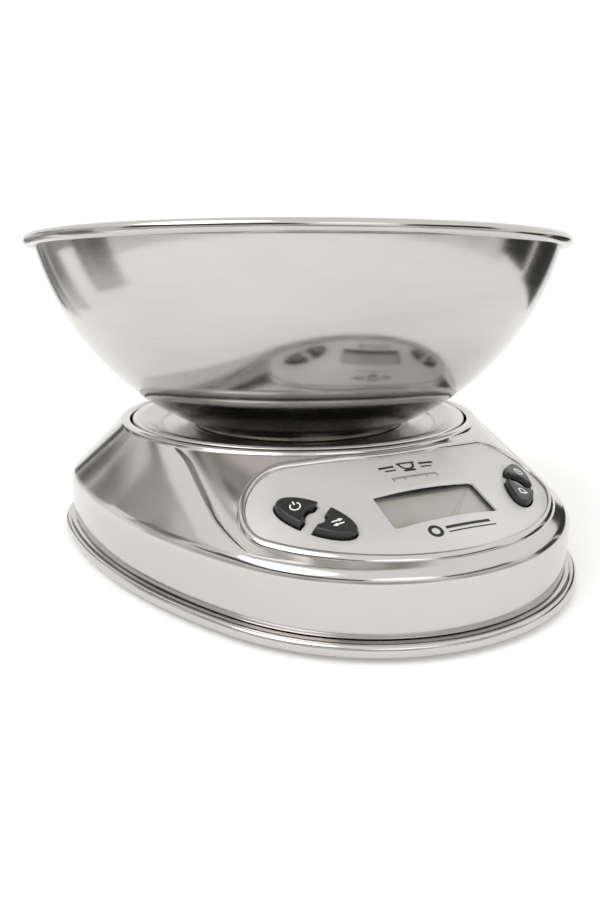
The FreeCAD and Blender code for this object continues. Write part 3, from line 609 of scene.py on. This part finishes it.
def windowLoop(bm, grow, z=0.0, steps=5):
    corner = window["corner"] + grow
    half, deep, mid = window["width"] / 2 + grow, window["depth"] / 2 + grow, window["v"]
    start = Vector((half - corner, mid - deep, z))
    runEnds = [Vector((half, mid + deep - corner, z)), Vector((-half + corner, mid + deep, z)),
               Vector((-half, mid - deep + corner, z)), start.copy()]
    moves = []
    for (signU, signV), runEnd in zip(((1, -1), (1, 1), (-1, 1), (-1, -1)), runEnds):
        moves += [(Vector((signU * (half - corner), mid + signV * (deep - corner), z)), 90, steps), runEnd]
    verts = trace(bm, start, moves)
    bmesh.ops.remove_doubles(bm, verts=verts, dist=0.001)
    return [v for v in verts if v.is_valid]


# the keys: each pair is an oval, split across the middle, with a round bite out of both halves
keys = {"long": 13.6, "short": 5.1, "split": 2.2, "bite": 3.6, "pairX": 39.9, "pairV": 0.2, "turn": 53.0,
        "proud": 2.2, "stem": 3.4, "edge": 0.8, "gap": 0.5, "markOut": 7.2}
keyNames = {"tare": (-1, 1), "unit": (-1, -1), "timer": (1, 1), "alarm": (1, -1)}  # side, upper or lower


def keyTurn(side, level):
    return math.radians(90 - side * (90 - keys["turn"]) + (0 if level > 0 else 180))


def keyLoop(bm, side, level, grow, z=0.0):
    wide, tall = keys["long"] + grow, keys["short"] + grow
    split, bite = keys["split"] - grow, keys["bite"] - grow
    # the half oval is a spun circle squeezed to shape, and the bite is a spun arc
    ovalTurn = math.degrees(math.acos(split / wide))
    first = trace(bm, Vector((split, -wide * math.sin(math.radians(ovalTurn)), z)),
                  [(Vector((0, 0, z)), 2 * ovalTurn, 36)])
    bmesh.ops.scale(bm, verts=first, vec=(1, tall / wide, 1))
    reachV = math.sqrt(bite ** 2 - split ** 2)
    biteTurn = math.degrees(math.atan2(reachV, split))
    second = trace(bm, Vector((split, reachV, z)), [(Vector((0, 0, z)), -2 * biteTurn, 14)])
    bm.verts.ensure_lookup_table()
    topEnd = max(first, key=lambda v: (abs(v.co.x - split) < 0.01, v.co.y))
    lowEnd = max(first, key=lambda v: (abs(v.co.x - split) < 0.01, -v.co.y))
    biteTop, biteLow = max(second, key=lambda v: v.co.y), min(second, key=lambda v: v.co.y)
    bm.edges.new((topEnd, biteTop))
    bm.edges.new((lowEnd, biteLow))
    verts = first + second
    bmesh.ops.rotate(bm, verts=verts, cent=(0, 0, 0), matrix=Matrix.Rotation(keyTurn(side, level), 3, "Z"))
    bmesh.ops.translate(bm, verts=verts, vec=(side * keys["pairX"], keys["pairV"], 0))
    return verts


def sliced(bm, directions):  # cut flat faces so that they can follow the curved nose
    for normal, low, high, step in directions:
        place = low
        while place < high:
            geom = list(bm.verts) + list(bm.edges) + list(bm.faces)
            bmesh.ops.bisect_plane(bm, geom=geom, dist=0.0001, plane_co=Vector(normal) * place,
                                   plane_no=normal)
            place += step


def raised(bm, height):  # gives flat faces a thickness, and returns the vertices and faces on top
    lifted = bmesh.ops.extrude_face_region(bm, geom=list(bm.faces))["geom"]
    topVerts = [part for part in lifted if isinstance(part, bmesh.types.BMVert)]
    bmesh.ops.translate(bm, verts=topVerts, vec=up * height)
    return topVerts, {part for part in lifted if isinstance(part, bmesh.types.BMFace)}


# the control plate
bm = bmesh.new()
outline = roundPlate(bm, [(0.0, 0.0)])
bmesh.ops.remove_doubles(bm, verts=outline, dist=coarseWeld)
holes = windowLoop(bm, 0.0)
for side, level in keyNames.values():
    holes += keyLoop(bm, side, level, keys["gap"])
toPlan(holes)
bmesh.ops.triangle_fill(bm, use_beauty=True, use_dissolve=False, edges=list(bm.edges), normal=up)
topFaces = raised(bm, plate["thick"])[1]
topRim = [e for e in bm.edges if len(e.link_faces) == 2
          and len([f for f in e.link_faces if f in topFaces]) == 1 and all(v.co.z > 0.5 for v in e.verts)]
bmesh.ops.bevel(bm, geom=topRim, offset=plate["edge"], segments=2, profile=0.5, affect="EDGES", material=-1)
sliced(bm, [((1, 0, 0), -57, 58, 2.5), ((0, 1, 0), -106, -58, 5.0)])
drape(bm.verts, -plate["sunk"])
finish("control_fascia", bm, "base", "satin_panel", finishes["satin_panel"], "control_plate", sharp=30,
       weighted=True)

for label, (side, level) in keyNames.items():
    bm = bmesh.new()
    keyLoop(bm, side, level, 0.0)
    bmesh.ops.triangle_fill(bm, use_beauty=True, use_dissolve=True, edges=list(bm.edges), normal=up)
    topFaces = raised(bm, keys["stem"] + keys["proud"])[1]
    topRim = [e for e in bm.edges if len([f for f in e.link_faces if f in topFaces]) == 1
              and all(v.co.z > 3 for v in e.verts)]
    bmesh.ops.bevel(bm, geom=topRim, offset=keys["edge"], segments=4, profile=0.5, affect="EDGES",
                    material=-1)
    middleX = side * keys["pairX"]
    sliced(bm, [((1, 0, 0), middleX - 16, middleX + 16, 2.0), ((0, 1, 0), -16, 14, 2.0)])
    ontoPanel(bm, -keys["stem"])
    finish(f"{label}_key", bm, f"{label}_button", "charcoal_rubber", finishes["charcoal_rubber"],
           f"{label}_button", sharp=40, weighted=True)

# the printed marks: ink width, thickness, and how high they lie over the plate's surface
line, inkThick, plateInk = 0.5, 0.05, -0.11


# a flat ribbon: an edge carried along (centre, degrees, steps) arcs and straight (x, y) runs
def stroke(bm, start, across, moves):
    start, across = Vector(start).to_3d(), Vector(across).to_3d()
    pair = [bm.verts.new(start - across / 2), bm.verts.new(start + across / 2)]
    sweep(bm, pair + [bm.edges.new(pair)], [
        (Vector(move[0]).to_3d(), move[1], move[2]) if len(move) == 3 else Vector(move).to_3d()
        for move in moves])


def wedge(bm, points):
    verts = [bm.verts.new(Vector(point).to_3d()) for point in points]
    bmesh.ops.contextual_create(bm, geom=verts)


def powerMark(bm):
    stroke(bm, (0.94, 1.21), (0.26, 0.33), [((0, 0), -284, 26)])
    stroke(bm, (-line / 2, 1.35), (0, 1.5), [(line, 0)])


def swapMark(bm):
    for flip in (1, -1):
        stroke(bm, (-1.7 * flip, 0.75 * flip), (0, line), [(2.2 * flip, 0)])
        wedge(bm, [(0.5 * flip, 0.05 * flip), (1.9 * flip, 0.75 * flip), (0.5 * flip, 1.45 * flip)])


def clockMark(bm):
    stroke(bm, (1.55, 0), (line, 0), [((0, 0), 360, 32)])
    stroke(bm, (0, 0.5), (line, 0), [(0, 0.6)])
    stroke(bm, (-line / 2, 0.05), (0, line), [(1.1, 0)])


def bellMark(bm):
    stroke(bm, (1.1, 0.1), (line, 0), [((0, 0.1), 180, 18)])
    stroke(bm, (1.1, 0.1), (line, 0), [(0.25, -0.95)])
    stroke(bm, (-1.1, 0.1), (line, 0), [(-0.25, -0.95)])
    stroke(bm, (-1.75, -1.1), (0, line), [(3.5, 0)])
    stroke(bm, (-0.35, -1.65), (0, line), [(0.7, 0)])


def printOn(name, body, material, place, top, draw):
    bm = bmesh.new()
    draw(bm)
    bmesh.ops.remove_doubles(bm, verts=bm.verts, dist=0.001)
    bmesh.ops.recalc_face_normals(bm, faces=bm.faces)
    raised(bm, inkThick)
    bmesh.ops.translate(bm, verts=bm.verts, vec=(place[0], place[1], 0))
    sliced(bm, [((1, 0, 0), place[0] - 15, place[0] + 15, 1.5)])
    ontoPanel(bm, top)
    finish(name, bm, body, "satin_panel" if body == "base" else "charcoal_rubber", material, sharp=20)


keyMarks = {"tare": powerMark, "unit": swapMark, "timer": clockMark, "alarm": bellMark}
for label, (side, level) in keyNames.items():
    turnKey = keyTurn(side, level)
    place = (side * keys["pairX"] + keys["markOut"] * math.cos(turnKey),
             keys["pairV"] + keys["markOut"] * math.sin(turnKey))
    printOn(f"{label}_mark", f"{label}_button", whitePrint, place, keys["proud"] - 0.01, keyMarks[label])


def scaleMark(bm):  # a little bowl on a base, over a row of graduations
    stroke(bm, (-2.7, 1.6), (0.8, 0), [((0, 1.6), 180, 20)])
    stroke(bm, (-3.6, 1.95), (0, 0.7), [(7.2, 0)])
    stroke(bm, (-2.3, -1.8), (0, 0.9), [(4.6, 0)])
    for side in (-1, 1):
        stroke(bm, (side * 5.0, 1.0), (0, 0.95), [(side * 5.8, 0)])
        stroke(bm, (side * 5.0, -0.8), (0, 0.6), [(side * 4.2, 0)])


def ruleMark(bm):  # graduations, each fifth one longer
    for step in range(21):
        tall = 1.9 if step % 5 == 0 else 1.0
        stroke(bm, ((step - 10) * 0.85 - 0.14, 0.9 - tall / 2), (0, tall), [(0.28, 0)])


def footMark(bm):  # a ring and two rules under the display
    stroke(bm, (-7.7, 0.3), (1.1, 0), [((-9.6, 0.3), 360, 30)])
    stroke(bm, (-5.6, 0.9), (0, 1.1), [(17.0, 0)])
    stroke(bm, (-5.6, -1.0), (0, 0.45), [(18.2, 0)])


printOn("plate_emblem", "base", darkPrint, (0, 13.2), plateInk, scaleMark)
printOn("plate_rule", "base", darkPrint, (0, 8.0), plateInk, ruleMark)
printOn("plate_footmark", "base", darkPrint, (1.6, -17.2), plateInk, footMark)

# the gasket round the display: its top follows the underside of the plate, its foot is flat
gasket = {"grow": 1.6, "foot": -2.55, "under": 1.15, "top": -1.2}
bm = bmesh.new()
inner = windowLoop(bm, -0.3)
outer = windowLoop(bm, gasket["grow"])
bmesh.ops.bridge_loops(bm, edges=edgesOf(inner) + edgesOf(outer))
topVerts = raised(bm, 0.0)[0]
for vert in bm.verts:
    vert.co = panel @ Vector((vert.co.x, vert.co.y, gasket["foot"]))
for vert in topVerts:
    local = panelBack @ vert.co
    top = min(panelDepth(local.x, local.y) - gasket["under"], gasket["top"])
    vert.co = panel @ Vector((local.x, local.y, top))
finish("display_gasket", bm, "base", "dark_plastic", finishes["dark_plastic"])
print("panel done")

# the stage: a pale floor, an even sky, two soft lamps, and cards for the steel to reflect
stage = {"floorSize": 6.0, "floorGlow": 0.1, "sky": (1.0, 0.995, 0.985, 1), "skyPower": 1.06}
floorMesh = bpy.data.meshes.new("floor")
bm = bmesh.new()
bmesh.ops.create_grid(bm, x_segments=1, y_segments=1, size=stage["floorSize"])
bm.to_mesh(floorMesh)
bm.free()
floor = bpy.data.objects.new("floor", floorMesh)
bpy.context.scene.collection.objects.link(floor)
paper = Finish("studio paper")
fibre = paper.noise(paper.place(), 400.0, 3.0)
floorMesh.materials.append(paper.surface(
    Base_Color=paper.blend(fibre, (0.86, 0.86, 0.855, 1), (0.90, 0.90, 0.895, 1)),
    Roughness=paper.mapped(fibre, 0.3, 0.7, 0.75, 0.9), Normal=paper.bump(fibre, 0.03, 0.0001),
    Emission_Color=(1, 1, 1, 1), Emission_Strength=stage["floorGlow"]))
below = paper.node("ShaderNodeNewGeometry")[6]  # the floor is seen through from underneath
nothing = paper.node("ShaderNodeBsdfTransparent")[0]
solid = Wire(paper, paper.shader.outputs[0])
seen = paper.node("ShaderNodeMixShader", None, {0: below, 1: solid, 2: nothing})[0]
paper.tree.links.new(seen.socket, paper.out.inputs["Surface"])

studio = bpy.data.worlds.new("studio")
studio.use_nodes = True
bpy.context.scene.world = studio
sky = studio.node_tree.nodes["Background"]
sky.inputs["Color"].default_value = stage["sky"]
sky.inputs["Strength"].default_value = stage["skyPower"]

lamps = {
    "key": {"at": (-0.75, -0.25, 0.95), "aim": (0, 0, 0.05), "size": 0.9, "power": 4.5},
    "front": {"at": (-0.1, -1.3, 0.55), "aim": (0, -0.05, 0.05), "size": 0.9, "power": 2.5},
}
for name, lamp in lamps.items():
    data = bpy.data.lights.new(name, "AREA")
    data.energy = lamp["power"]
    data.shape = "DISK"
    data.size = lamp["size"]
    item = bpy.data.objects.new(name, data)
    item.location = lamp["at"]
    item.rotation_euler = (Vector(lamp["aim"]) - Vector(lamp["at"])).to_track_quat("-Z", "Y").to_euler()
    bpy.context.scene.collection.objects.link(item)

# dark and grey cards, seen only in the steel: flat ones stand beside the object, the last two curve round
# in front. shade is the card's own tone.
# fade is two places along Y in metres: the card grows pale towards the first.
# streaks is how fine its soft upright stripes are: they grow paler towards the top and the foot.
dark = 0.015
cards = {"left_far": {"x": -200, "y": (420, 700), "low": 0, "high": 150, "shade": dark},
         "left_back": {"x": -200, "y": (240, 400), "low": 0, "high": 165, "shade": dark, "streaks": 14.0},
         "left_middle": {"x": -200, "y": (120, 222), "low": 20, "high": 160, "shade": dark, "streaks": 14.0},
         "left": {"x": -200, "y": (-5, 60), "low": 40, "high": 175, "shade": dark, "streaks": 20.0},
         "left_grey": {"x": -206, "y": (-40, 240), "low": 90, "high": 190, "shade": 0.16,
                       "fade": (0.0, 0.17)},
         "right": {"x": 300, "y": (-210, -95), "low": 38, "high": 120, "shade": dark},
         "right_back": {"x": 300, "y": (-82, 45), "low": 35, "high": 130, "shade": dark},
         "near_grey": {"radius": 430, "sweep": 170, "low": 0, "high": 160, "shade": 0.34, "streaks": 5.0},
         "room": {"radius": 1500, "sweep": 160, "low": 5, "high": 900, "shade": dark}}


def cardFinish(card):
    shade = card["shade"]
    made = Finish(f"card {shade}")
    felt = made.noise(made.place(), 60.0, 3.0)
    cloth = made.blend(felt, tone((shade,) * 3, 0.8), tone((shade,) * 3, 1.2))
    parts = made.node("ShaderNodeSeparateXYZ", None, {0: made.place()})
    if "fade" in card:
        low, high = card["fade"]
        cloth = made.blend(made.mapped(parts[1], low, high, 0.0, 1.0), (0.85, 0.85, 0.85, 1), cloth)
    if "streaks" in card:
        low, high = card["low"] * mm, card["high"] * mm
        flat = made.joined(parts[0], parts[1])
        top = made.mapped(parts[2], low + (high - low) * 0.55, high, 0.0, 1.0)
        foot = made.mapped(parts[2], low, low + (high - low) * 0.35, 0.9, 0.0)
        pale = made.mapped(made.noise(flat, card["streaks"], 1.0), 0.4, 0.62, 0.0, 0.6) + top + foot
        cloth = made.blend(made.mapped(pale, 0.0, 1.0, 0.0, 1.0), cloth, (0.8, 0.79, 0.77, 1))
    return made.surface(Base_Color=cloth,
                        Roughness=made.mapped(felt, 0.3, 0.7, 0.8, 0.95), Normal=made.bump(felt, 0.1, 0.001))


for name, card in cards.items():
    bm = bmesh.new()
    if "radius" in card:
        facing = view["turn"] - math.radians(90 + card["sweep"] / 2)
        at = Vector((math.cos(facing), math.sin(facing), 0)) * card["radius"]
        moves = [(Vector((0, 0, 0)), card["sweep"], 40)]
    else:
        at = Vector((card["x"], card["y"][0], 0))
        moves = [Vector((0, card["y"][1] - card["y"][0], 0))]
    ends = [bm.verts.new(at + up * card["low"]), bm.verts.new(at + up * card["high"])]
    sweep(bm, ends + [bm.edges.new(ends)], moves)
    bmesh.ops.scale(bm, verts=bm.verts, vec=(mm, mm, mm))
    mesh = bpy.data.meshes.new(name + "_card")
    bm.to_mesh(mesh)
    bm.free()
    mesh.materials.append(cardFinish(card))
    item = bpy.data.objects.new(name + "_card", mesh)
    bpy.context.scene.collection.objects.link(item)
    item.visible_camera = False
    item.visible_diffuse = False
    item.visible_shadow = False
